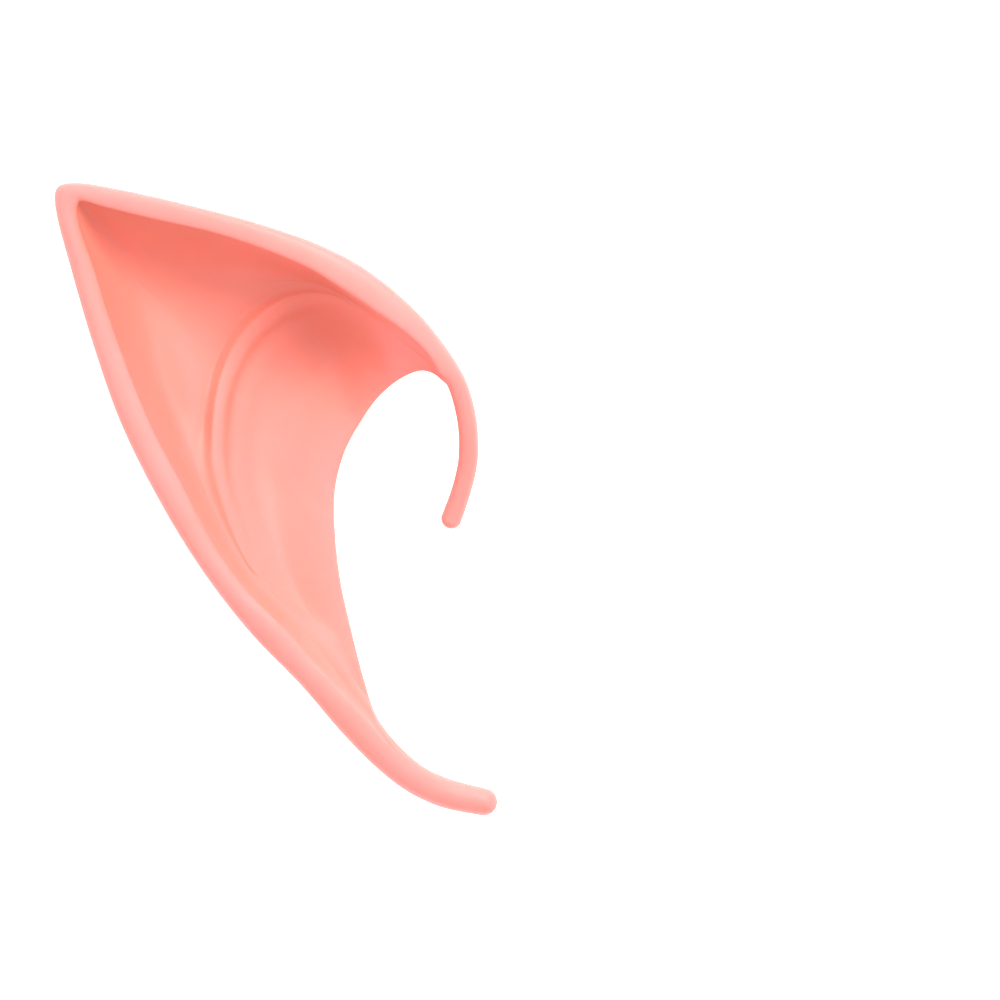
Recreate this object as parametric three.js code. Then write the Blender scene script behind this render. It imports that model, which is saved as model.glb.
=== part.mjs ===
import * as THREE from 'three';

// Elf ear tip: one moulded latex shell that slips over the top of an ear, lying on its back.
// Millimetres, +Z up. X runs from the point's side to the hook's side, Y from the tail to the top.
// The origin is the centre of the bounding box, on the surface that the shell lies on.

// Overall size
const earWidth = 70.2; // along X, from the point to the end of the tail
const earLength = 100.2; // along Y, from the tail to the upper rim
const earDepth = 24; // along Z, from the back to the highest part of the rim

// Sizes that stand by themselves
const wall = 1.4; // latex of the front and the back skin
const rimDepth = 3.4; // from the rim's crest to its underside
const lipUndercut = 0.5; // how far the upper rim hangs over its wall
const ridgeWidth = 3; // the raised fold inside the ear
const ridgeRise = 1.6;
const backSetback = 1.2; // how far the back skin stops short of the front skin's free edge
const hookDiameter = 3.1;
const tailDiameter = 4.6;
const leastGap = 1.2; // narrowest place of the pocket
const pocketRound = 0.35; // the pocket's rounded bottom, in gaps there
const edgeRound = { in: 0.12, down: 0.4 }; // the free edges' round over, in walls
const rimFoot = { in: 0.02, down: 0.9 }; // where the back meets the rim, in ribs and rim depths
const mostSetback = 0.15; // of the back skin, across the rib
const mostUndercut = 0.2; // of the way from the rim's inner edge to the wall's foot
const outerRidge = 0.66; // most of the way from the foot to the ridge that one ridge width takes
const innerRidge = 0.32; // most of the way from the ridge to the bowl's deepest line

// How finely the shell is stepped
const stationStep = 2.7; // along the rim
const capRings = 4; // rings of each round end
const foldSteps = 12; // along each stretch of a fold
const leastFoldStep = 0.02; // between neighbouring folds, as a share of the rib
const leastLip = 0.05; // of the rim's inner edge across the rib
const wallSteps = [0, 0.25, 0.5, 0.75, 1]; // down the wall below the rim
const bandEdge = 0.85; // from the round over to the free edge
const ceilingSteps = [0.12, 0.3, 0.5, 0.7, 0.88, 1]; // into the pocket, under the front skin
const floorSteps = [1, 0.82, 0.6, 0.35, 0.12]; // out of it again, over the back skin
const backSteps = [0.96, 0.82, 0.68, 0.54, 0.4, 0.28, 0.17, 0.07]; // under the back skin to the rim
const shellColour = 0xf9b5a3;

// The hook's middle line from its free end to its root, as shares of width, length and depth.
// Girth is a share of the hook's diameter.
const hookRoute = [
  { x: 0.894, y: 0.468, up: 0.396, girth: 1.04 },
  { x: 0.912, y: 0.503, up: 0.45, girth: 1 },
  { x: 0.931, y: 0.557, up: 0.531, girth: 1 },
  { x: 0.929, y: 0.623, up: 0.627, girth: 1 },
  { x: 0.907, y: 0.68, up: 0.702, girth: 1 },
];

// Ribs across the ear from the outer rim to the free edge that faces the head, from the hook's root
// round the point to the tail's root, as shares of width, length and depth. The hook's own ribs come
// before them, so that the first of these is rib 5.
const earRibs = [
  { rimX: 0.899, rimY: 0.721, rimUp: 0.804, edgeX: 0.872, edgeY: 0.686, edgeUp: 0.733 },
  { rimX: 0.869, rimY: 0.751, rimUp: 0.838, edgeX: 0.854, edgeY: 0.696, edgeUp: 0.717 },
  { rimX: 0.827, rimY: 0.787, rimUp: 0.875, edgeX: 0.829, edgeY: 0.701, edgeUp: 0.675 },
  { rimX: 0.7725, rimY: 0.823, rimUp: 0.908, edgeX: 0.7995, edgeY: 0.6955, edgeUp: 0.617 },
  { rimX: 0.703, rimY: 0.861, rimUp: 0.942, edgeX: 0.768, edgeY: 0.683, edgeUp: 0.55 },
  { rimX: 0.61, rimY: 0.896, rimUp: 0.975, edgeX: 0.7275, edgeY: 0.659, edgeUp: 0.46 },
  { rimX: 0.475, rimY: 0.93, rimUp: 1, edgeX: 0.687, edgeY: 0.62, edgeUp: 0.39 },
  { rimX: 0.306, rimY: 0.962, rimUp: 0.983, edgeX: 0.655, edgeY: 0.58, edgeUp: 0.37 },
  { rimX: 0.1485, rimY: 0.987, rimUp: 0.942, edgeX: 0.6385, edgeY: 0.546, edgeUp: 0.36 },
  { rimX: 0.0495, rimY: 0.9975, rimUp: 0.904, edgeX: 0.632, edgeY: 0.525, edgeUp: 0.355 },
  { rimX: 0.009, rimY: 0.992, rimUp: 0.888, edgeX: 0.63, edgeY: 0.516, edgeUp: 0.355 },
  { rimX: 0.001, rimY: 0.976, rimUp: 0.875, edgeX: 0.629, edgeY: 0.51, edgeUp: 0.356 },
  { rimX: 0.007, rimY: 0.9415, rimUp: 0.867, edgeX: 0.628, edgeY: 0.5, edgeUp: 0.358 },
  { rimX: 0.036, rimY: 0.866, rimUp: 0.85, edgeX: 0.628, edgeY: 0.4795, edgeUp: 0.363 },
  { rimX: 0.0855, rimY: 0.7475, rimUp: 0.842, edgeX: 0.63, edgeY: 0.448, edgeUp: 0.37 },
  { rimX: 0.1485, rimY: 0.6215, rimUp: 0.829, edgeX: 0.635, edgeY: 0.4085, edgeUp: 0.375 },
  { rimX: 0.2275, rimY: 0.508, rimUp: 0.804, edgeX: 0.6465, edgeY: 0.3565, edgeUp: 0.375 },
  { rimX: 0.3265, rimY: 0.393, rimUp: 0.763, edgeX: 0.662, edgeY: 0.309, edgeUp: 0.375 },
  { rimX: 0.439, rimY: 0.29, rimUp: 0.704, edgeX: 0.68, edgeY: 0.2585, edgeUp: 0.375 },
  { rimX: 0.556, rimY: 0.205, rimUp: 0.633, edgeX: 0.698, edgeY: 0.2115, edgeUp: 0.375 },
  { rimX: 0.6485, rimY: 0.1295, rimUp: 0.542, edgeX: 0.725, edgeY: 0.157, edgeUp: 0.367 },
];

// The tail's middle line from its root to its free end, in the same way
const tailRoute = [
  { x: 0.748, y: 0.094, up: 0.352, girth: 1.09 },
  { x: 0.812, y: 0.057, up: 0.27, girth: 1.02 },
  { x: 0.883, y: 0.034, up: 0.195, girth: 1.01 },
  { x: 0.967, y: 0.0205, up: 0.143, girth: 0.93 },
];

// The folds of the front skin run the length of the ear, from the hook's root to the tail's root, as
// shares of width and length.

// The rim's inner edge. Crisp is 1 where it is an edge and 0 where it is rolled over. Hollow is 1
// where the wall below it is hollowed and 0 where that slopes.
const lipRoute = [
  { x: 0.876, y: 0.684, crisp: 0.3, hollow: 0.2 },
  { x: 0.864, y: 0.698, crisp: 0.5, hollow: 0.2 },
  { x: 0.852, y: 0.718, crisp: 0.8, hollow: 0.2 },
  { x: 0.82, y: 0.743, crisp: 1, hollow: 0.15 },
  { x: 0.779, y: 0.7675, crisp: 1, hollow: 0.15 },
  { x: 0.7115, y: 0.801, crisp: 1, hollow: 0.15 },
  { x: 0.655, y: 0.828, crisp: 1, hollow: 0.2 },
  { x: 0.6215, y: 0.8425, crisp: 1, hollow: 0.25 },
  { x: 0.592, y: 0.8565, crisp: 1, hollow: 0.3 },
  { x: 0.486, y: 0.889, crisp: 1, hollow: 0.4 },
  { x: 0.36, y: 0.918, crisp: 1, hollow: 0.4 },
  { x: 0.214, y: 0.941, crisp: 1, hollow: 0.35 },
  { x: 0.099, y: 0.961, crisp: 0.95, hollow: 0.35 },
  { x: 0.06, y: 0.968, crisp: 0.6, hollow: 0.4 },
  { x: 0.053, y: 0.95, crisp: 0.2, hollow: 0.4 },
  { x: 0.088, y: 0.866, crisp: 0.1, hollow: 0.3 },
  { x: 0.158, y: 0.716, crisp: 0.1, hollow: 0.12 },
  { x: 0.217, y: 0.614, crisp: 0.1, hollow: 0.05 },
  { x: 0.282, y: 0.525, crisp: 0.05, hollow: 0 },
  { x: 0.347, y: 0.436, crisp: 0, hollow: 0 },
  { x: 0.42, y: 0.361, crisp: 0, hollow: 0 },
  { x: 0.497, y: 0.306, crisp: 0, hollow: 0 },
  { x: 0.563, y: 0.253, crisp: 0, hollow: 0 },
  { x: 0.653, y: 0.185, crisp: 0, hollow: 0 },
  { x: 0.773, y: 0.095, crisp: 0, hollow: 0 },
  { x: 0.82, y: 0.069, crisp: 0, hollow: 0 },
];

// The foot of the wall below the rim, with its height as a share of the depth
const footRoute = [
  { x: 0.874, y: 0.683, up: 0.735 },
  { x: 0.86, y: 0.696, up: 0.74 },
  { x: 0.845, y: 0.711, up: 0.745 },
  { x: 0.824, y: 0.724, up: 0.755 },
  { x: 0.788, y: 0.744, up: 0.77 },
  { x: 0.742, y: 0.77, up: 0.765 },
  { x: 0.7, y: 0.793, up: 0.745 },
  { x: 0.669, y: 0.811, up: 0.72 },
  { x: 0.641, y: 0.824, up: 0.695 },
  { x: 0.6, y: 0.837, up: 0.65 },
  { x: 0.541, y: 0.844, up: 0.575 },
  { x: 0.46, y: 0.842, up: 0.49 },
  { x: 0.38, y: 0.834, up: 0.44 },
  { x: 0.3, y: 0.828, up: 0.43 },
  { x: 0.246, y: 0.808, up: 0.445 },
  { x: 0.23, y: 0.78, up: 0.465 },
  { x: 0.25, y: 0.727, up: 0.465 },
  { x: 0.277, y: 0.644, up: 0.47 },
  { x: 0.32, y: 0.547, up: 0.51 },
  { x: 0.378, y: 0.453, up: 0.525 },
  { x: 0.457, y: 0.37, up: 0.515 },
  { x: 0.565, y: 0.294, up: 0.468 },
  { x: 0.646, y: 0.216, up: 0.452 },
  { x: 0.711, y: 0.157, up: 0.43 },
  { x: 0.768, y: 0.108, up: 0.38 },
  { x: 0.824, y: 0.073, up: 0.3 },
];

// The crest of the raised fold, with its rise as a share of the ridge's rise. Shelf is 1 where the
// floor outside it is level and 0 where that slopes on from the wall.
const ridgeRoute = [
  { x: 0.872, y: 0.682, rise: 0, shelf: 0 },
  { x: 0.857, y: 0.696, rise: 0, shelf: 0 },
  { x: 0.826, y: 0.72, rise: 0, shelf: 0 },
  { x: 0.79, y: 0.735, rise: 0, shelf: 0 },
  { x: 0.748, y: 0.755, rise: 0, shelf: 0 },
  { x: 0.71, y: 0.776, rise: 0, shelf: 0.1 },
  { x: 0.68, y: 0.796, rise: 0, shelf: 0.4 },
  { x: 0.645, y: 0.812, rise: 0.2, shelf: 0.8 },
  { x: 0.593, y: 0.816, rise: 0.5, shelf: 1 },
  { x: 0.537, y: 0.8055, rise: 0.8, shelf: 1 },
  { x: 0.483, y: 0.784, rise: 0.95, shelf: 1 },
  { x: 0.44, y: 0.756, rise: 1, shelf: 1 },
  { x: 0.408, y: 0.72, rise: 1, shelf: 1 },
  { x: 0.385, y: 0.677, rise: 1, shelf: 1 },
  { x: 0.373, y: 0.633, rise: 1, shelf: 1 },
  { x: 0.369, y: 0.595, rise: 0.95, shelf: 0.95 },
  { x: 0.37, y: 0.555, rise: 0.75, shelf: 0.75 },
  { x: 0.384, y: 0.506, rise: 0.5, shelf: 0.5 },
  { x: 0.402, y: 0.462, rise: 0.34, shelf: 0.34 },
  { x: 0.425, y: 0.42, rise: 0.2, shelf: 0.2 },
  { x: 0.455, y: 0.38, rise: 0.1, shelf: 0.1 },
  { x: 0.5, y: 0.358, rise: 0, shelf: 0 },
  { x: 0.592, y: 0.3, rise: 0, shelf: 0 },
  { x: 0.663, y: 0.222, rise: 0, shelf: 0 },
  { x: 0.722, y: 0.161, rise: 0, shelf: 0 },
  { x: 0.775, y: 0.11, rise: 0, shelf: 0 },
  { x: 0.827, y: 0.074, rise: 0, shelf: 0 },
];

// The deepest line of the bowl
const bowlRoute = [
  { x: 0.87, y: 0.682, up: 0.727 },
  { x: 0.854, y: 0.696, up: 0.72 },
  { x: 0.829, y: 0.714, up: 0.715 },
  { x: 0.793, y: 0.723, up: 0.69 },
  { x: 0.752, y: 0.73, up: 0.645 },
  { x: 0.695, y: 0.727, up: 0.46 },
  { x: 0.63, y: 0.71, up: 0.31 },
  { x: 0.575, y: 0.68, up: 0.29 },
  { x: 0.535, y: 0.645, up: 0.288 },
  { x: 0.51, y: 0.605, up: 0.295 },
  { x: 0.5, y: 0.57, up: 0.308 },
  { x: 0.5, y: 0.521, up: 0.325 },
  { x: 0.509, y: 0.464, up: 0.358 },
  { x: 0.529, y: 0.399, up: 0.388 },
  { x: 0.564, y: 0.334, up: 0.408 },
  { x: 0.617, y: 0.269, up: 0.425 },
  { x: 0.669, y: 0.212, up: 0.425 },
  { x: 0.716, y: 0.154, up: 0.41 },
  { x: 0.775, y: 0.109, up: 0.35 },
  { x: 0.829, y: 0.076, up: 0.28 },
];

// The round over beside the free edge
const bandRoute = [
  { x: 0.868, y: 0.681, up: 0.73 },
  { x: 0.853, y: 0.695, up: 0.718 },
  { x: 0.829, y: 0.706, up: 0.69 },
  { x: 0.797, y: 0.705, up: 0.64 },
  { x: 0.764, y: 0.697, up: 0.575 },
  { x: 0.716, y: 0.683, up: 0.455 },
  { x: 0.667, y: 0.651, up: 0.36 },
  { x: 0.617, y: 0.623, up: 0.335 },
  { x: 0.59, y: 0.59, up: 0.332 },
  { x: 0.574, y: 0.549, up: 0.335 },
  { x: 0.574, y: 0.506, up: 0.345 },
  { x: 0.577, y: 0.481, up: 0.36 },
  { x: 0.586, y: 0.429, up: 0.378 },
  { x: 0.601, y: 0.374, up: 0.392 },
  { x: 0.622, y: 0.32, up: 0.397 },
  { x: 0.651, y: 0.262, up: 0.397 },
  { x: 0.682, y: 0.211, up: 0.393 },
  { x: 0.721, y: 0.155, up: 0.38 },
  { x: 0.777, y: 0.11, up: 0.335 },
  { x: 0.833, y: 0.076, up: 0.27 },
];

// The back skin by rib: how far across the rib its hip, its belly and the pocket's bottom are, and
// heights as shares of the depth. A belly height below 0 is cut off flat at the surface that the
// shell lies on.
const backFolds = [
  { rib: 5, hip: 0.3, hipUp: 0.683, belly: 0.6, bellyUp: 0.663, edgeUp: 0.663, pocket: 0.97 },
  { rib: 7, hip: 0.35, hipUp: 0.62, belly: 0.7, bellyUp: 0.52, edgeUp: 0.483, pocket: 0.9 },
  { rib: 8, hip: 0.35, hipUp: 0.58, belly: 0.7, bellyUp: 0.38, edgeUp: 0.333, pocket: 0.73 },
  { rib: 9, hip: 0.35, hipUp: 0.54, belly: 0.7, bellyUp: 0.25, edgeUp: 0.21, pocket: 0.6 },
  { rib: 10, hip: 0.3, hipUp: 0.44, belly: 0.65, bellyUp: 0.13, edgeUp: 0.125, pocket: 0.45 },
  { rib: 11, hip: 0.25, hipUp: 0.38, belly: 0.6, bellyUp: 0.03, edgeUp: 0.05, pocket: 0.38 },
  { rib: 12, hip: 0.25, hipUp: 0.29, belly: 0.58, bellyUp: -0.02, edgeUp: 0.03, pocket: 0.34 },
  { rib: 13, hip: 0.25, hipUp: 0.29, belly: 0.6, bellyUp: -0.033, edgeUp: 0.02, pocket: 0.36 },
  { rib: 15, hip: 0.28, hipUp: 0.3, belly: 0.62, bellyUp: -0.033, edgeUp: 0.02, pocket: 0.38 },
  { rib: 17, hip: 0.27, hipUp: 0.3, belly: 0.6, bellyUp: -0.033, edgeUp: 0.02, pocket: 0.36 },
  { rib: 19, hip: 0.27, hipUp: 0.267, belly: 0.55, bellyUp: -0.033, edgeUp: 0.03, pocket: 0.35 },
  { rib: 21, hip: 0.28, hipUp: 0.25, belly: 0.55, bellyUp: -0.025, edgeUp: 0.05, pocket: 0.37 },
  { rib: 22, hip: 0.3, hipUp: 0.24, belly: 0.55, bellyUp: 0.008, edgeUp: 0.054, pocket: 0.42 },
  { rib: 23, hip: 0.35, hipUp: 0.25, belly: 0.6, bellyUp: 0.075, edgeUp: 0.075, pocket: 0.55 },
  { rib: 24, hip: 0.4, hipUp: 0.3, belly: 0.65, bellyUp: 0.175, edgeUp: 0.15, pocket: 0.8 },
  { rib: 25, hip: 0.4, hipUp: 0.358, belly: 0.7, bellyUp: 0.275, edgeUp: 0.24, pocket: 0.95 },
];

// The rim's round over, across the lip's width and down in rim depths: a flat band with a crisp
// inner edge where the wall below it is hollowed, and a soft crest where the wall slopes
const rimProfile = [
  { across: 0, down: 0.5, softAcross: 0, softDown: 0.5 },
  { across: 0.09, down: 0.14, softAcross: 0.12, softDown: 0.16 },
  { across: 0.36, down: 0, softAcross: 0.36, softDown: 0.01 },
  { across: 0.86, down: 0.02, softAcross: 0.68, softDown: 0.03 },
  { across: 1, down: 0.17, softAcross: 1, softDown: 0.24 },
];
const lipUndersideDown = 0.5; // on the upper rim
const softUndersideDown = 0.4; // where the wall slopes
const slopeEase = 1.5; // how the sloping wall flattens towards its foot

// How the points of a section are spread round the hook and the tail, as shares of their number and
// degrees above and below the side that faces the head
const rodLip = 0.75; // where the rim's inner edge ends up, across the rod
const frontShare = 0.52;
const mouthShare = 0.28;
const mouthTurn = 10;
const backTurn = 50;

// The ridge's profile, in ridge widths from its crest and in shares of its rise
const ridgeProfile = [
  { from: -1.25, rise: -0.02 },
  { from: -0.95, rise: 0.05 },
  { from: -0.6, rise: 0.6 },
  { from: -0.4, rise: 0.95 },
  { from: 0, rise: 1 },
  { from: 0.4, rise: 0.82 },
  { from: 0.75, rise: 0.3 },
  { from: 1.5, rise: 0.25 },
  { from: 2.3, rise: 0 },
];

const firstEarRib = hookRoute.length;
const lastEarRib = firstEarRib + earRibs.length - 1;

// Smooth curve through rows of places and values, level where the values turn. Its first slope can be
// made less, down to level.
function smoothThrough(places, values, place, firstSlope = 1) {
  const last = places.length - 1;
  if (place <= places[0]) return values[0];
  if (place >= places[last]) return values[last];
  const slopes = values.map((value, i) => {
    if (i === 0) return (firstSlope * (values[1] - value)) / (places[1] - places[0]);
    if (i === last) return (value - values[i - 1]) / (places[i] - places[i - 1]);
    const before = (value - values[i - 1]) / (places[i] - places[i - 1]);
    const after = (values[i + 1] - value) / (places[i + 1] - places[i]);
    return before * after <= 0 ? 0 : (2 * before * after) / (before + after);
  });
  let i = 0;
  while (place > places[i + 1]) i += 1;
  const span = places[i + 1] - places[i];
  const t = (place - places[i]) / span;
  const rise = values[i + 1] - values[i];
  const start = slopes[i] * span;
  const end = slopes[i + 1] * span;
  return values[i] + t * (start + t * (3 * rise - 2 * start - end + t * (start + end - 2 * rise)));
}

function foldAt(rows, column, rib) {
  return smoothThrough(rows.map((row) => row.rib), rows.map((row) => row[column]), rib);
}

// The two sides of the hook and the tail, square to their middle line
function rodRibs(route, diameter) {
  const size = new THREE.Vector3(earWidth, earLength, earDepth);
  const middle = route.map((row) => new THREE.Vector3(row.x, row.y, row.up).multiply(size));
  return route.map((row, i) => {
    const ahead = middle[Math.min(i + 1, route.length - 1)];
    const behind = middle[Math.max(i - 1, 0)];
    const along = new THREE.Vector3(ahead.x - behind.x, ahead.y - behind.y, 0).normalize();
    const side = new THREE.Vector3(along.y, -along.x, 0).multiplyScalar(0.5 * diameter * row.girth);
    const crest = new THREE.Vector3(0, 0, 0.5 * diameter * row.girth);
    return {
      rim: middle[i].clone().add(side).add(crest),
      edge: middle[i].clone().sub(side),
      along,
    };
  });
}

const ribs = [
  ...rodRibs(hookRoute, hookDiameter),
  ...earRibs.map((row) => ({
    rim: new THREE.Vector3(row.rimX * earWidth, row.rimY * earLength, row.rimUp * earDepth),
    edge: new THREE.Vector3(row.edgeX * earWidth, row.edgeY * earLength, row.edgeUp * earDepth),
  })),
  ...rodRibs(tailRoute, tailDiameter),
];
const rimCurve = new THREE.CatmullRomCurve3(ribs.map((rib) => rib.rim), false, 'centripetal');
const edgeCurve = new THREE.CatmullRomCurve3(ribs.map((rib) => rib.edge), false, 'centripetal');

// How much of a section is shell and how much is rod, by rib
const shellShare = [
  { rib: firstEarRib - 1, share: 0 },
  { rib: firstEarRib + 2, share: 1 },
  { rib: lastEarRib - 1, share: 1 },
  { rib: lastEarRib + 2, share: 0 },
];

// A fold as a fine line in plan, with one of its columns in place of the height
function foldLine(route, column) {
  const points = route.map((row) => new THREE.Vector3(row.x * earWidth, row.y * earLength, row[column]));
  return new THREE.CatmullRomCurve3(points, false, 'centripetal').getPoints(foldSteps * route.length);
}

const lipLine = foldLine(lipRoute, 'crisp');
const hollowLine = foldLine(lipRoute, 'hollow');
const footLine = foldLine(footRoute, 'up');
const ridgeLine = foldLine(ridgeRoute, 'rise');
const shelfLine = foldLine(ridgeRoute, 'shelf');
const bowlLine = foldLine(bowlRoute, 'up');
const bandLine = foldLine(bandRoute, 'up');

// Where a section crosses a fold: how far across it is, and the fold's value there
function crossing(line, section) {
  const offside = (point) => (
    section.across.x * (point.y - section.rim.y) - section.across.y * (point.x - section.rim.x)
  );
  const far = (point) => (
    section.across.x * (point.x - section.rim.x) + section.across.y * (point.y - section.rim.y)
  );
  for (let i = 0; i < line.length - 1; i += 1) {
    const before = offside(line[i]);
    const after = offside(line[i + 1]);
    if (before * after <= 0 && before !== after) {
      const point = line[i].clone().lerp(line[i + 1], before / (before - after));
      const at = far(point);
      if (at > 0 && at < 1.1 * section.width) return { at, value: point.z };
    }
  }
  const first = line[0];
  const last = line[line.length - 1];
  const end = Math.abs(offside(first)) < Math.abs(offside(last)) ? first : last;
  return { at: far(end), value: end.z };
}

// Points of the front skin in its section, from the outer side of the rim to the free edge
function frontPoints(section, rimUp, edgeUp) {
  const { width } = section;
  const lines = [lipLine, footLine, ridgeLine, bowlLine, bandLine];
  const folds = lines.map((line) => crossing(line, section));
  for (let i = 0; i < folds.length; i += 1) {
    const least = i === 0 ? leastLip * width : folds[i - 1].at + leastFoldStep * width;
    const most = width * (1 - leastFoldStep * (folds.length - i));
    folds[i].at = Math.min(Math.max(folds[i].at, least), most);
  }
  const [lip, foot, crest, bowl, band] = folds;
  const lipAt = lip.at;
  const footAt = foot.at;
  const crestAt = crest.at;
  const bowlAt = bowl.at;
  const bandAt = band.at;
  const footUp = foot.value * earDepth;
  const crisp = lip.value;
  const hollow = crossing(hollowLine, section).value;
  const shelf = crossing(shelfLine, section).value;
  const points = rimProfile.map((row) => {
    const across = row.softAcross + crisp * (row.across - row.softAcross);
    const down = row.softDown + crisp * (row.down - row.softDown);
    return [across * lipAt, rimUp - down * rimDepth];
  });

  const farthestUnder = lipAt + mostUndercut * (footAt - lipAt);
  const underAt = Math.min(lipAt - lipUndercut * (2 * hollow - 1), farthestUnder);
  const undersideDown = softUndersideDown + hollow * (lipUndersideDown - softUndersideDown);
  const underUp = rimUp - undersideDown * rimDepth;
  for (const q of wallSteps) {
    const hollowAcross = 1 - Math.cos(0.5 * Math.PI * q);
    const hollowDown = Math.sin(0.5 * Math.PI * q);
    const slopeDown = 1 - (1 - q) ** slopeEase;
    const across = q + hollow * (hollowAcross - q);
    const down = slopeDown + hollow * (hollowDown - slopeDown);
    points.push([underAt + across * (footAt - underAt), underUp + down * (footUp - underUp)]);
  }

  const baseUp = (at) => smoothThrough(
    [footAt, bowlAt, bandAt, width],
    [footUp, bowl.value * earDepth, band.value * earDepth, edgeUp],
    at,
    1 - shelf,
  );
  const outerUnit = Math.min(ridgeWidth, outerRidge * (crestAt - footAt));
  const innerUnit = Math.min(ridgeWidth, innerRidge * (bowlAt - crestAt));
  const ridge = ridgeProfile.map((row) => {
    const at = crestAt + row.from * (row.from < 0 ? outerUnit : innerUnit);
    return [at, baseUp(at) + row.rise * crest.value * ridgeRise];
  });
  const floorAt = 0.5 * (footAt + ridge[0][0]);
  const beforeBowl = 0.5 * (ridge[ridge.length - 1][0] + bowlAt);
  const afterBowl = 0.5 * (bowlAt + bandAt);
  points.push([floorAt, baseUp(floorAt)], ...ridge);
  const nearEdge = bandAt + bandEdge * (width - bandAt);
  for (const at of [beforeBowl, bowlAt, afterBowl, bandAt, nearEdge]) points.push([at, baseUp(at)]);
  return { points, baseUp };
}

// Points of the back skin from its free edge to the underside of the rim
function backCurve(rib, width, rimUp) {
  const fold = (column) => foldAt(backFolds, column, rib);
  const edgeAt = width - Math.min(backSetback, mostSetback * width);
  const places = [0, fold('hip') * width, fold('belly') * width, edgeAt];
  const lowUps = ['hipUp', 'bellyUp', 'edgeUp'].map((column) => fold(column) * earDepth);
  const ups = [rimUp - rimDepth, ...lowUps];
  const backUp = (at) => Math.max(0, smoothThrough(places, ups, at));
  return { edgeAt, backUp };
}

// The closed outline of the shell where it is cut by one rib: front skin, pocket, back skin
function shellLoop(rib, section, rimUp, edgeUp) {
  const { width } = section;
  const { points, baseUp } = frontPoints(section, rimUp, edgeUp);
  const { edgeAt, backUp } = backCurve(rib, width, rimUp);
  const roundIn = edgeRound.in * wall;
  const roundDown = edgeRound.down * wall;
  points.push([width, edgeUp - roundDown], [width - roundIn, edgeUp - wall]);

  const pocketAt = foldAt(backFolds, 'pocket', rib) * width;
  const pocketTop = (at) => {
    const middle = 0.5 * (baseUp(at) + backUp(at));
    return Math.max(baseUp(at) - wall, middle + 0.5 * leastGap);
  };
  const pocketFloor = (at) => {
    const middle = 0.5 * (baseUp(at) + backUp(at));
    return Math.min(backUp(at) + wall, middle - 0.5 * leastGap);
  };
  for (const share of ceilingSteps) {
    const at = width + share * (pocketAt - width);
    points.push([at, pocketTop(at)]);
  }
  const bottomGap = pocketTop(pocketAt) - pocketFloor(pocketAt);
  const bottomUp = 0.5 * (pocketTop(pocketAt) + pocketFloor(pocketAt));
  points.push([pocketAt - pocketRound * bottomGap, bottomUp]);
  for (const share of floorSteps) {
    const at = edgeAt + share * (pocketAt - edgeAt);
    points.push([at, pocketFloor(at)]);
  }
  points.push([edgeAt - roundIn, backUp(edgeAt) + wall], [edgeAt, backUp(edgeAt) + roundDown]);
  for (const share of backSteps) {
    points.push([share * edgeAt, backUp(share * edgeAt)]);
  }
  points.push([rimFoot.in * edgeAt, rimUp - rimFoot.down * rimDepth]);
  return points;
}

// A round section with as many points, from the outer side over the top, so that the rim's crest runs
// on along the top of the hook and the tail
function rodLoop(count, width, rimUp, halfDepth) {
  const rimCount = rimProfile.length;
  const frontCount = Math.round(frontShare * count);
  const mouthEnd = Math.round((frontShare + mouthShare) * count);
  const turns = rimProfile.map((row) => (
    THREE.MathUtils.radToDeg(Math.acos(2 * rodLip * row.softAcross - 1))
  ));
  const lipTurn = turns[rimCount - 1];
  for (let i = rimCount; i < count; i += 1) {
    if (i < frontCount) {
      turns.push(THREE.MathUtils.mapLinear(i, rimCount - 1, frontCount, lipTurn, mouthTurn));
    } else if (i < mouthEnd) {
      turns.push(THREE.MathUtils.mapLinear(i, frontCount, mouthEnd, mouthTurn, -backTurn));
    } else {
      turns.push(THREE.MathUtils.mapLinear(i, mouthEnd, count, -backTurn, -180));
    }
  }
  return turns.map((turn) => {
    const angle = THREE.MathUtils.degToRad(turn);
    return [0.5 * width * (1 + Math.cos(angle)), rimUp - halfDepth * (1 - Math.sin(angle))];
  });
}

// One ring of the shell at a rib number, which may lie between two ribs
function ringAt(rib) {
  const rim = rimCurve.getPoint(rib / (ribs.length - 1));
  const edge = edgeCurve.getPoint(rib / (ribs.length - 1));
  const across = new THREE.Vector3(edge.x - rim.x, edge.y - rim.y, 0);
  const width = across.length();
  across.normalize();
  const shell = shellLoop(rib, { rim, across, width }, rim.z, edge.z);
  const nearHook = rib < 0.5 * (firstEarRib + lastEarRib);
  const halfDepth = 0.5 * (nearHook ? hookDiameter : tailDiameter);
  const rod = rodLoop(shell.length, width, rim.z, Math.min(halfDepth, 0.5 * width));
  const share = foldAt(shellShare, 'share', rib);
  return rod.map(([rodAt, rodUp], i) => {
    const at = rodAt + share * (shell[i][0] - rodAt);
    const up = rodUp + share * (shell[i][1] - rodUp);
    return new THREE.Vector3(rim.x + across.x * at, rim.y + across.y * at, up);
  });
}

// Rings that close a free end as a half ball, out to its pole
function capRingsAt(ring, along, radius) {
  const middle = new THREE.Box3().setFromPoints(ring).getCenter(new THREE.Vector3());
  const rings = [];
  for (let i = 1; i <= capRings; i += 1) {
    const angle = (0.5 * Math.PI * i) / (capRings + 1);
    const shift = along.clone().multiplyScalar(radius * Math.sin(angle));
    rings.push(ring.map((point) => point.clone().lerp(middle, 1 - Math.cos(angle)).add(shift)));
  }
  return { rings, pole: middle.clone().addScaledVector(along, radius) };
}

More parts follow.
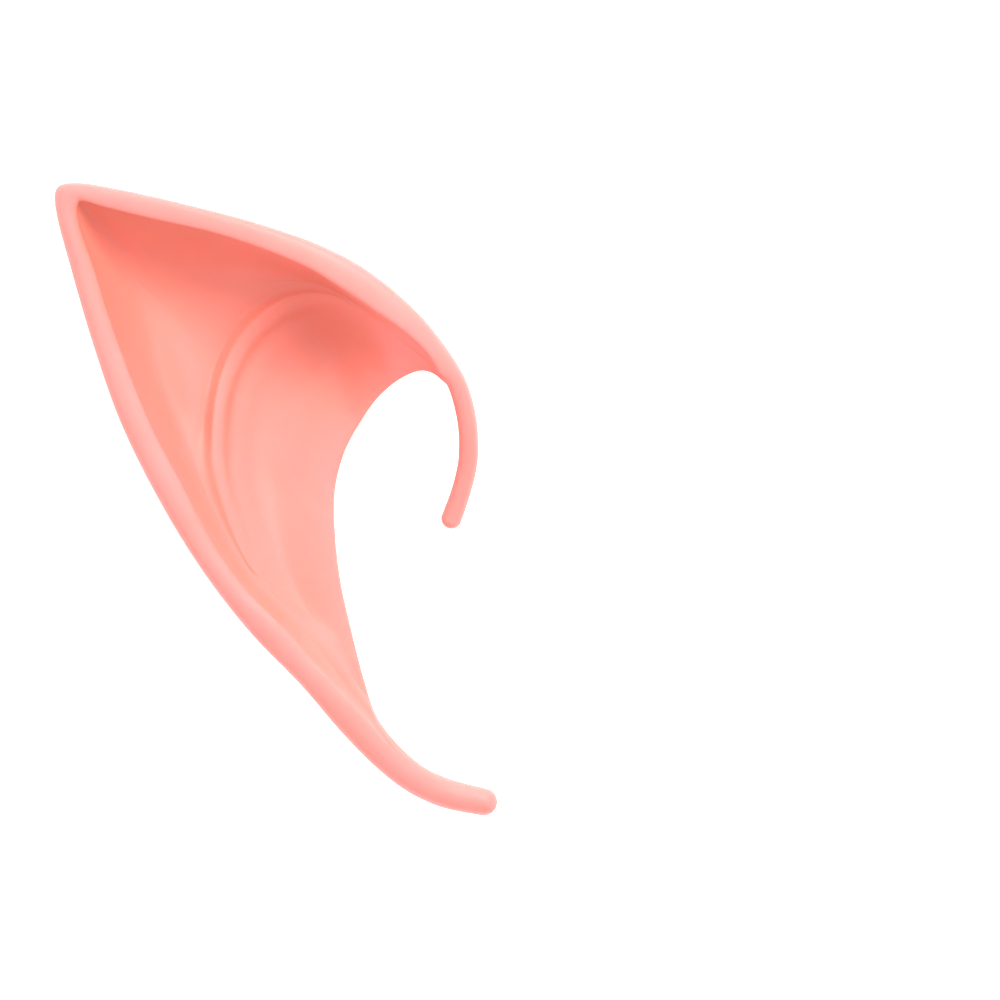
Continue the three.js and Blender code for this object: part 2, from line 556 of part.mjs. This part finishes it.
function ribStations() {
  const stations = [];
  for (let rib = 0; rib < ribs.length - 1; rib += 1) {
    const span = ribs[rib].rim.distanceTo(ribs[rib + 1].rim);
    const steps = Math.max(2, Math.round(span / stationStep));
    for (let i = 0; i < steps; i += 1) stations.push(rib + i / steps);
  }
  stations.push(ribs.length - 1);
  return stations;
}

function shellGeometry() {
  const body = ribStations().map(ringAt);
  const firstRib = ribs[0];
  const lastRib = ribs[ribs.length - 1];
  const hookRadius = 0.5 * hookDiameter * hookRoute[0].girth;
  const tailRadius = 0.5 * tailDiameter * tailRoute[tailRoute.length - 1].girth;
  const hookEnd = capRingsAt(body[0], firstRib.along.clone().negate(), hookRadius);
  const tailEnd = capRingsAt(body[body.length - 1], lastRib.along, tailRadius);
  const rings = [...hookEnd.rings.reverse(), ...body, ...tailEnd.rings];
  const count = rings[0].length;

  const points = [...rings.flat(), hookEnd.pole, tailEnd.pole];
  const triangles = [];
  for (let ring = 0; ring < rings.length - 1; ring += 1) {
    for (let i = 0; i < count; i += 1) {
      const a = ring * count + i;
      const b = ring * count + ((i + 1) % count);
      triangles.push(a, a + count, b, b, a + count, b + count);
    }
  }
  const lastStart = (rings.length - 1) * count;
  for (let i = 0; i < count; i += 1) {
    const next = (i + 1) % count;
    triangles.push(points.length - 2, i, next);
    triangles.push(points.length - 1, lastStart + next, lastStart + i);
  }

  const geometry = new THREE.BufferGeometry().setFromPoints(points);
  geometry.setIndex(triangles);
  geometry.computeBoundingBox();
  const box = geometry.boundingBox;
  const middle = box.getCenter(new THREE.Vector3());
  geometry.translate(-middle.x, -middle.y, -box.min.z);
  geometry.computeVertexNormals();
  return geometry;
}

const latex = new THREE.MeshStandardMaterial({ color: shellColour, roughness: 0.5, metalness: 0 });
const earTip = new THREE.Mesh(shellGeometry(), latex);
earTip.name = 'ear_tip';

const model = new THREE.Group();
model.add(earTip);

export default model;
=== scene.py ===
import math

import bpy
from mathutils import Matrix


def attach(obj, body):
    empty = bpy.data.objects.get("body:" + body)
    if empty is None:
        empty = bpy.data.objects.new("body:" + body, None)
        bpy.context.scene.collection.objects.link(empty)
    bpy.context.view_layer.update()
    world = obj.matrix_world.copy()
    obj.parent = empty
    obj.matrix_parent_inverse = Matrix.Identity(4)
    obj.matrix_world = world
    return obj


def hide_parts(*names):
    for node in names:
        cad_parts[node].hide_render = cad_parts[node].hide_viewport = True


# Metres and watts, +Z up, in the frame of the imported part
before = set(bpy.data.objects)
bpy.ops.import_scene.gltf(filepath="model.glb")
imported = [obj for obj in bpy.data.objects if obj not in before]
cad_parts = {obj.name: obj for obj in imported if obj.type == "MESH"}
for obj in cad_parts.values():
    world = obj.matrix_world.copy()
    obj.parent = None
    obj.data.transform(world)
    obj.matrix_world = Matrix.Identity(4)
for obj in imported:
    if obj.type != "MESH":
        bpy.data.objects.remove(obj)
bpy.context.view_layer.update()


def deselectAll():
    if bpy.context.object and bpy.context.object.mode != "OBJECT":
        bpy.ops.object.mode_set(mode="OBJECT")
    bpy.ops.object.select_all(action="DESELECT")


# The camera looks straight down from above the photograph's centre, with the ear in the frame's left half
cameraPlan = {
    "over": (0.0354, -0.0001),  # the place that the middle of the frame shows
    "height": 5.5,
    "trueAt": 0.015,  # height of the plane that is seen at its true scale
    "frameWidth": 0.158,  # of that plane
    "sensor": 36.0,
    "sees": (0.01, 20),
}


def addCamera(plan):
    deselectAll()
    x, y = plan["over"]
    bpy.ops.object.camera_add(location=(x, y, plan["height"]), rotation=(0, 0, 0))
    camera = bpy.context.object
    camera.name = "topCamera"
    camera.data.sensor_width = plan["sensor"]
    camera.data.lens = plan["sensor"] * (plan["height"] - plan["trueAt"]) / plan["frameWidth"]
    camera.data.clip_start, camera.data.clip_end = plan["sees"]
    bpy.context.scene.camera = camera


addCamera(cameraPlan)
print("camera placed")

# The ear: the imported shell's facets, joined and rounded into one soft skin
earPlan = {
    "node": "ear_tip",
    "body": "root",
    "slot": "moulded_latex",
    "mergeWithin": 0.000002,
    "quadTurn": 60,  # most degrees between two triangles that are joined into a quad
    "quadSkew": 80,
    "smoothLevels": 2,
    "fittings": 2,  # times that the corners are moved out
    "softening": 0.5,
    "softenings": 6,
}


# Rounding draws the corners of a shell in, so they are moved out first by as much
def moveCornersOut(piece, times):
    corners = [corner.co.copy() for corner in piece.data.vertices]
    for fitting in range(times):
        bpy.context.view_layer.update()
        rounded = piece.evaluated_get(bpy.context.evaluated_depsgraph_get()).to_mesh()
        drawnIn = [corners[i] - rounded.vertices[i].co for i in range(len(corners))]
        most = max(gap.length for gap in drawnIn)
        print("rounding draws the corners in by up to", round(1000 * most, 3), "mm")
        for corner, gap in zip(piece.data.vertices, drawnIn):
            corner.co += gap
        piece.data.update()


def makeEar(plan):
    deselectAll()
    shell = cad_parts[plan["node"]]
    shell.select_set(True)
    bpy.context.view_layer.objects.active = shell
    bpy.ops.object.duplicate()
    ear = bpy.context.object
    ear.name = "soft_ear"
    bpy.ops.mesh.customdata_custom_splitnormals_clear()
    bpy.ops.object.mode_set(mode="EDIT")
    bpy.ops.mesh.select_all(action="SELECT")
    bpy.ops.mesh.remove_doubles(threshold=plan["mergeWithin"])
    bpy.ops.mesh.tris_convert_to_quads(
        face_threshold=math.radians(plan["quadTurn"]), shape_threshold=math.radians(plan["quadSkew"])
    )
    bpy.ops.object.mode_set(mode="OBJECT")
    sides = [len(face.vertices) for face in ear.data.polygons]
    print("joined shell:", sides.count(4), "quads,", sides.count(3), "triangles")
    bpy.ops.object.modifier_add(type="SUBSURF")
    skin = ear.modifiers[-1]
    skin.levels = skin.render_levels = plan["smoothLevels"]
    moveCornersOut(ear, plan["fittings"])
    bpy.ops.object.modifier_apply(modifier=skin.name)
    bpy.ops.object.modifier_add(type="SMOOTH")
    soft = ear.modifiers[-1]
    soft.factor = plan["softening"]
    soft.iterations = plan["softenings"]
    bpy.ops.object.modifier_apply(modifier=soft.name)
    bpy.ops.object.shade_smooth()
    print("ear faces:", len(ear.data.polygons))
    return ear


# Satin latex: pink where it lies open, painted shade in its folds and at the head of the bowl, faint
# clouds and a fine grain
latexPlan = {
    "open": (0.93, 0.28, 0.255, 1),  # on the rim and other open places, where no painted shade falls
    "hollow": (0.79, 0.23, 0.172, 1),  # painted shade deep in the folds
    "hollowReach": 0.02,  # how far off a surface still adds painted shade
    "hollowSamples": 8,
    "paintedShadeOcclusion": (0.86, 1.0),  # ambient occlusion range, from full painted shade to none
    "flush": (0.93, 0.245, 0.19, 1),  # the pigment's faint clouds
    "flushShare": 0.35,
    "flushRange": (0.35, 0.7),  # of the clouds' noise
    "paintedBowlShade": (0.68, 0.14, 0.095, 1),  # painted shade at the head of the bowl, under the ridge
    "bowlAt": (0.0058, 0.0285, 0.0115),
    "paintedBowlShadeReach": (0.0, 0.014),
    "paintedBowlShadeShare": 0.55,
    "mottle": 70,  # per metre, so about 14 mm across
    "mottleDetail": 3,
    "grain": 2600,
    "grainDetail": 2,
    "grainDepth": 0.00002,
    "grainStrength": 0.35,
    "roughness": (0.42, 0.55),
    "scatter": 0.6,
    "scatterReach": 0.0016,
    "scatterRadius": (1.0, 0.3, 0.18),
    "bending": 1.5,
}


def latexMaterial(plan):
    material = bpy.data.materials.new("moulded_latex")
    material.use_nodes = True
    tree = material.node_tree
    nodes, links = tree.nodes, tree.links
    shader = nodes["Principled BSDF"]
    place = nodes.new("ShaderNodeTexCoord")

    mottle = nodes.new("ShaderNodeTexNoise")
    mottle.inputs["Scale"].default_value = plan["mottle"]
    mottle.inputs["Detail"].default_value = plan["mottleDetail"]
    links.new(place.outputs["Object"], mottle.inputs["Vector"])
    # painted shade: ambient occlusion darkens and reddens the colour in the folds
    paintedShadeOcclusion = nodes.new("ShaderNodeAmbientOcclusion")
    paintedShadeOcclusion.samples = plan["hollowSamples"]
    paintedShadeOcclusion.only_local = True
    paintedShadeOcclusion.inputs["Distance"].default_value = plan["hollowReach"]
    paintedShadeMix = nodes.new("ShaderNodeMix")
    paintedShadeMix.data_type = "RGBA"
    paintedShadeMix.inputs["A"].default_value = plan["hollow"]
    paintedShadeMix.inputs["B"].default_value = plan["open"]
    paintedShadeFade = nodes.new("ShaderNodeMapRange")
    fullPaintedShadeAt, noPaintedShadeAt = plan["paintedShadeOcclusion"]
    paintedShadeFade.inputs["From Min"].default_value = fullPaintedShadeAt
    paintedShadeFade.inputs["From Max"].default_value = noPaintedShadeAt
    links.new(paintedShadeOcclusion.outputs["AO"], paintedShadeFade.inputs["Value"])
    links.new(paintedShadeFade.outputs["Result"], paintedShadeMix.inputs["Factor"])
    tone = nodes.new("ShaderNodeMix")
    tone.data_type = "RGBA"
    tone.inputs["B"].default_value = plan["flush"]
    share = nodes.new("ShaderNodeMapRange")
    share.inputs["From Min"].default_value, share.inputs["From Max"].default_value = plan["flushRange"]
    share.inputs["To Max"].default_value = plan["flushShare"]
    links.new(mottle.outputs["Fac"], share.inputs["Value"])
    links.new(share.outputs["Result"], tone.inputs["Factor"])
    links.new(paintedShadeMix.outputs["Result"], tone.inputs["A"])
    # painted shade: the colour darkens towards a point at the head of the bowl, under the ridge
    away = nodes.new("ShaderNodeVectorMath")
    away.operation = "DISTANCE"
    away.inputs[1].default_value = plan["bowlAt"]
    links.new(place.outputs["Object"], away.inputs[0])
    bowlShadeMask = nodes.new("ShaderNodeMapRange")
    bowlShadeMask.interpolation_type = "SMOOTHSTEP"
    bowlShadeMask.inputs["From Max"].default_value, bowlShadeMask.inputs["From Min"].default_value = plan["paintedBowlShadeReach"]
    bowlShadeMask.inputs["To Max"].default_value = plan["paintedBowlShadeShare"]
    links.new(away.outputs["Value"], bowlShadeMask.inputs["Value"])
    bowl = nodes.new("ShaderNodeMix")
    bowl.data_type = "RGBA"
    bowl.inputs["B"].default_value = plan["paintedBowlShade"]
    links.new(bowlShadeMask.outputs["Result"], bowl.inputs["Factor"])
    links.new(tone.outputs["Result"], bowl.inputs["A"])
    links.new(bowl.outputs["Result"], shader.inputs["Base Color"])

    gloss = nodes.new("ShaderNodeMapRange")
    gloss.inputs["To Min"].default_value, gloss.inputs["To Max"].default_value = plan["roughness"]
    links.new(mottle.outputs["Fac"], gloss.inputs["Value"])
    links.new(gloss.outputs["Result"], shader.inputs["Roughness"])

    grain = nodes.new("ShaderNodeTexNoise")
    grain.inputs["Scale"].default_value = plan["grain"]
    grain.inputs["Detail"].default_value = plan["grainDetail"]
    links.new(place.outputs["Object"], grain.inputs["Vector"])
    bump = nodes.new("ShaderNodeBump")
    bump.inputs["Strength"].default_value = plan["grainStrength"]
    bump.inputs["Distance"].default_value = plan["grainDepth"]
    links.new(grain.outputs["Fac"], bump.inputs["Height"])
    links.new(bump.outputs["Normal"], shader.inputs["Normal"])

    shader.inputs["Subsurface Weight"].default_value = plan["scatter"]
    shader.inputs["Subsurface Scale"].default_value = plan["scatterReach"]
    shader.inputs["Subsurface Radius"].default_value = plan["scatterRadius"]
    shader.inputs["IOR"].default_value = plan["bending"]
    return material


ear = makeEar(earPlan)
ear.data.materials.clear()
ear.data.materials.append(latexMaterial(latexPlan))
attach(ear, earPlan["body"])
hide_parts(earPlan["node"])
print("ear made")

# A plain floor that fills every view, and soft light mostly from beyond the upper rim
floorPlan = {
    "radius": 6.0,
    "corners": 96,
    "under": 0.0001,
    "colour": (0.9, 0.9, 0.9, 1),
    "roughness": 0.6,
    "glow": 0.5,
}


def addFloor(plan):
    deselectAll()
    bpy.ops.mesh.primitive_circle_add(
        vertices=plan["corners"], radius=plan["radius"], fill_type="NGON", location=(0, 0, -plan["under"])
    )
    floor = bpy.context.object
    floor.name = "floor"
    bpy.ops.object.transform_apply(location=True, rotation=True, scale=True)
    material = bpy.data.materials.new("pale_floor")
    material.use_nodes = True
    shader = material.node_tree.nodes["Principled BSDF"]
    shader.inputs["Base Color"].default_value = plan["colour"]
    shader.inputs["Roughness"].default_value = plan["roughness"]
    shader.inputs["Emission Color"].default_value = (1, 1, 1, 1)
    shader.inputs["Emission Strength"].default_value = plan["glow"]
    floor.data.materials.append(material)


addFloor(floorPlan)

lightPlan = {
    "key": {"at": (0.5, 0.95, 1.15), "size": 0.7, "watts": 24},
    "fill": {"at": (-0.6, 0.2, 1.3), "size": 1.0, "watts": 5},
}
roomPlan = {"colour": (1, 1, 1, 1), "strength": 0.85}


def addLights(plan):
    for name, one in plan.items():
        deselectAll()
        bpy.ops.object.light_add(type="AREA", location=one["at"])
        light = bpy.context.object
        light.name = name + "_light"
        light.data.shape = "DISK"
        light.data.size = one["size"]
        light.data.energy = one["watts"]
        reach = math.hypot(one["at"][0], one["at"][1])
        light.rotation_euler = (
            math.atan2(reach, one["at"][2]),
            0,
            math.atan2(-one["at"][0], one["at"][1]) + math.pi,
        )


addLights(lightPlan)


def addRoom(plan):
    room = bpy.data.worlds.new("soft_room")
    bpy.context.scene.world = room
    room.use_nodes = True
    walls = room.node_tree.nodes["Background"]
    walls.inputs["Color"].default_value = plan["colour"]
    walls.inputs["Strength"].default_value = plan["strength"]


addRoom(roomPlan)
bpy.context.scene.view_settings.view_transform = "Standard"
print("stage and lights set")
